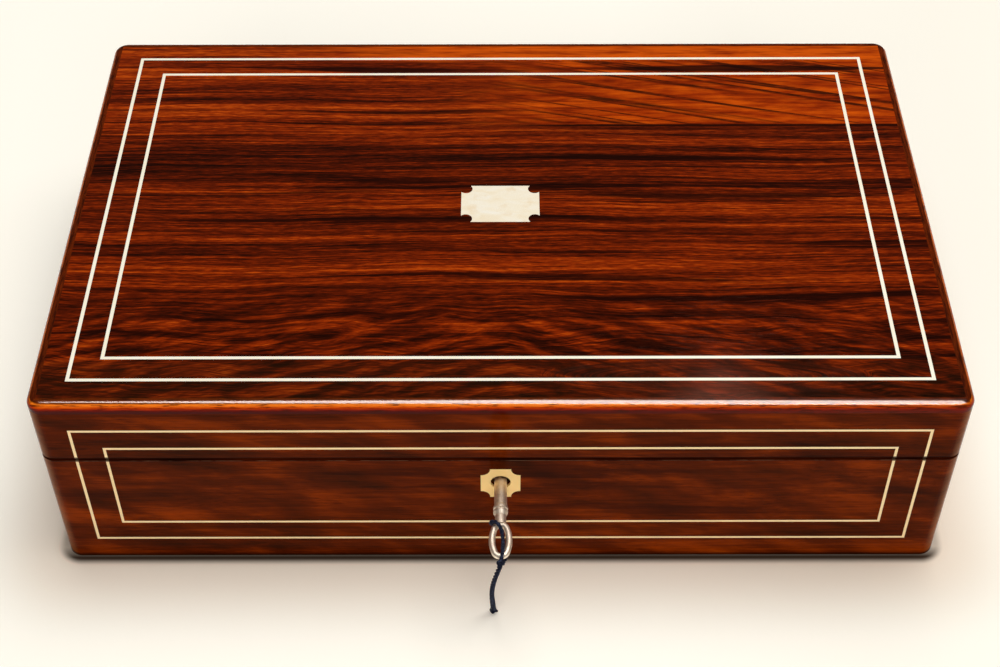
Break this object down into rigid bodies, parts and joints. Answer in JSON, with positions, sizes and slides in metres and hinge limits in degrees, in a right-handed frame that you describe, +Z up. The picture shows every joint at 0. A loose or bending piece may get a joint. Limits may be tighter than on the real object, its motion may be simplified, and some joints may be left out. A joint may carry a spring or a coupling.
{
  "type": "writing slope",
  "caption": "Portable writing slope: a rosewood box with bone line inlay that opens into a sloping leather desk with pen tray, inkwells and a key in its box lock.",
  "frame": {"origin": "centre of the underside of the box, on the surface it stands on", "axes": "+X to the right as one faces the lock, +Y from the lock to the hinges, +Z up"},
  "size_m": [0.3524, 0.265, 0.092],
  "materials": {
    "rosewood": "french polished, high gloss",
    "mahogany": "polished, satin",
    "bone": "polished bone",
    "pearl": "polished shell",
    "brass": "lightly worn",
    "steel": "worn, slightly warm",
    "glass": "clear",
    "leather": "smooth writing leather",
    "cord": "twisted cotton"
  },
  "bodies": {
    "base": {"base_back_wall": "rosewood", "base_bottom_panel": "mahogany", "base_flap_hinge_pins": "brass", "base_flap_hinge_wall_leaves": "brass", "base_flap_ledges": "mahogany", "base_front_lines": "bone", "base_front_wall": "rosewood", "base_left_wall": "rosewood", "base_right_wall": "rosewood", "escutcheon": "bone", "hinge_base_leaf_left": "brass", "hinge_base_leaf_right": "brass", "hinge_base_screws": "brass", "hinge_pins": "brass", "inkwell_bottle_left": "glass", "inkwell_bottle_right": "glass", "inkwell_cap_left": "brass", "inkwell_cap_right": "brass", "inkwell_partitions": "mahogany", "lock_cap": "brass", "lock_drill_pin": "steel", "lock_plate": "brass", "lock_screws": "brass", "lock_spring": "steel", "pen_tray": "mahogany", "tray_bearers": "mahogany", "tray_divider": "mahogany"},
    "lid": {"lid_front_wall": "rosewood", "lid_back_wall": "rosewood", "lid_left_wall": "rosewood", "lid_right_wall": "rosewood", "lid_top_panel": "rosewood", "lid_edge_banding": "rosewood", "lid_front_lines": "bone", "top_outer_lines": "bone", "top_inner_lines": "bone", "name_plaque": "pearl", "link_plate": "brass", "link_plate_screws": "brass", "hinge_lid_leaf_left": "brass", "hinge_lid_leaf_right": "brass", "hinge_lid_screws": "brass", "lid_flap_hinge_wall_leaves": "brass", "lid_flap_hinge_pins": "brass", "lid_flap_strikes": "brass", "lid_flap_ledges": "mahogany"},
    "base_flap": {"base_flap_board": "mahogany", "base_flap_leather": "leather", "base_flap_hinge_flap_leaves": "brass"},
    "lid_flap": {"lid_flap_board": "mahogany", "lid_flap_leather": "leather", "lid_flap_hinge_flap_leaves": "brass", "lid_flap_catches": "brass"},
    "key": {"key": "steel", "key_cord_loop": "cord", "key_cord_knot": "cord", "key_cord_tail": "cord", "key_cord_end": "cord"},
    "bolt": {"lock_bolt": "brass"}
  },
  "joints": [
    {"name": "lid_hinge", "type": "hinge", "parent": "base", "child": "lid", "pos_m": [0, 0.112, 0.046], "axis": [-1, 0, 0], "range_deg": [0, 180]},
    {"name": "key_turn", "type": "hinge", "parent": "base", "child": "key", "pos_m": [0, -0.111, 0.047], "axis": [0, 1, 0], "range_deg": [0, 180], "deforming": ["key_cord_tail", "key_cord_end"]},
    {"name": "bolt_slide", "type": "slide", "parent": "base", "child": "bolt", "axis": [1, 0, 0], "range_m": [0, 0.005]},
    {"name": "base_flap_hinge", "type": "hinge", "parent": "base", "child": "base_flap", "pos_m": [0, 0.10132, 0.04412], "axis": [-1, 0, 0], "range_deg": [0, 60]},
    {"name": "lid_flap_hinge", "type": "hinge", "parent": "lid", "child": "lid_flap", "pos_m": [0, 0.10168, 0.04931], "axis": [1, 0, 0], "range_deg": [0, 60]}
  ],
  "couplings": [
    {"joint": "bolt_slide", "follows": "key_turn", "m_per_rad": 0.0015915},
    {"joint": "base_flap_hinge", "follows": "lid_hinge", "ratio": 0.33333},
    {"joint": "lid_flap_hinge", "follows": "lid_hinge", "ratio": 0.33333}
  ]
}
